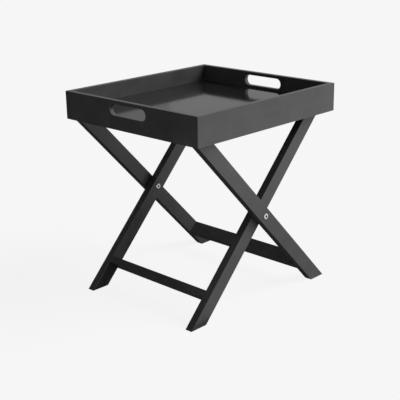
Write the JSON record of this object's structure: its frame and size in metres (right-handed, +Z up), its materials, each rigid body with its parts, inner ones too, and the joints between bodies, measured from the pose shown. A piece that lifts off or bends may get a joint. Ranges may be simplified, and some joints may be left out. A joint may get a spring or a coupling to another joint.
{
  "type": "butler's tray table",
  "caption": "Folding butler's tray table: a lacquered rectangular tray with raised walls and end hand slots, resting on a hinged stand of crossed legs.",
  "frame": {"origin": "on the floor, under the middle of the tray", "axes": "+X along the tray's length, towards its right hand slot; +Y across the tray, towards its rear; +Z up"},
  "size_m": [0.48, 0.434, 0.5025],
  "materials": {
    "satin_lacquer": "satin black lacquer",
    "gloss_lacquer": "gloss black lacquer",
    "beech_joinery": "bare wood",
    "zinc_plated_steel": "satin"
  },
  "bodies": {
    "outer_frame": {"outer_leg_front": "satin_lacquer", "outer_leg_rear": "satin_lacquer", "outer_rail_dowel_front_inner": "beech_joinery", "outer_rail_dowel_front_outer": "beech_joinery", "outer_rail_dowel_rear_inner": "beech_joinery", "outer_rail_dowel_rear_outer": "beech_joinery", "outer_stretcher": "satin_lacquer", "outer_stretcher_dowel_front_lower": "beech_joinery", "outer_stretcher_dowel_front_upper": "beech_joinery", "outer_stretcher_dowel_rear_lower": "beech_joinery", "outer_stretcher_dowel_rear_upper": "beech_joinery", "outer_top_rail": "satin_lacquer", "pivot_bolt_front": "zinc_plated_steel", "pivot_bolt_rear": "zinc_plated_steel", "pivot_nut_front": "zinc_plated_steel", "pivot_nut_rear": "zinc_plated_steel", "pivot_washer_front": "zinc_plated_steel", "pivot_washer_rear": "zinc_plated_steel"},
    "inner_frame": {"inner_leg_front": "satin_lacquer", "inner_leg_rear": "satin_lacquer", "inner_rail_dowel_front_inner": "beech_joinery", "inner_rail_dowel_front_outer": "beech_joinery", "inner_rail_dowel_rear_inner": "beech_joinery", "inner_rail_dowel_rear_outer": "beech_joinery", "inner_stretcher": "satin_lacquer", "inner_stretcher_dowel_front_lower": "beech_joinery", "inner_stretcher_dowel_front_upper": "beech_joinery", "inner_stretcher_dowel_rear_lower": "beech_joinery", "inner_stretcher_dowel_rear_upper": "beech_joinery", "inner_top_rail": "satin_lacquer"},
    "tray": {"tray_floor": "gloss_lacquer", "tray_front_wall": "satin_lacquer", "tray_left_end": "satin_lacquer", "tray_rear_wall": "satin_lacquer", "tray_right_end": "satin_lacquer", "tray_spline_front_left": "beech_joinery", "tray_spline_front_right": "beech_joinery", "tray_spline_rear_left": "beech_joinery", "tray_spline_rear_right": "beech_joinery"}
  },
  "joints": [
    {"name": "stand_fold", "type": "hinge", "parent": "outer_frame", "child": "inner_frame", "pos_m": [0, 0, 0.2202], "axis": [0, -1, 0], "range_deg": [0, 77]},
    {"name": "tray_lift", "type": "slide", "parent": "outer_frame", "child": "tray", "axis": [0, 0, 1], "range_m": [0, 0.41]}
  ],
  "couplings": [
    {"joint": "tray_lift", "follows": "stand_fold", "m_per_rad": 0.3}
  ]
}
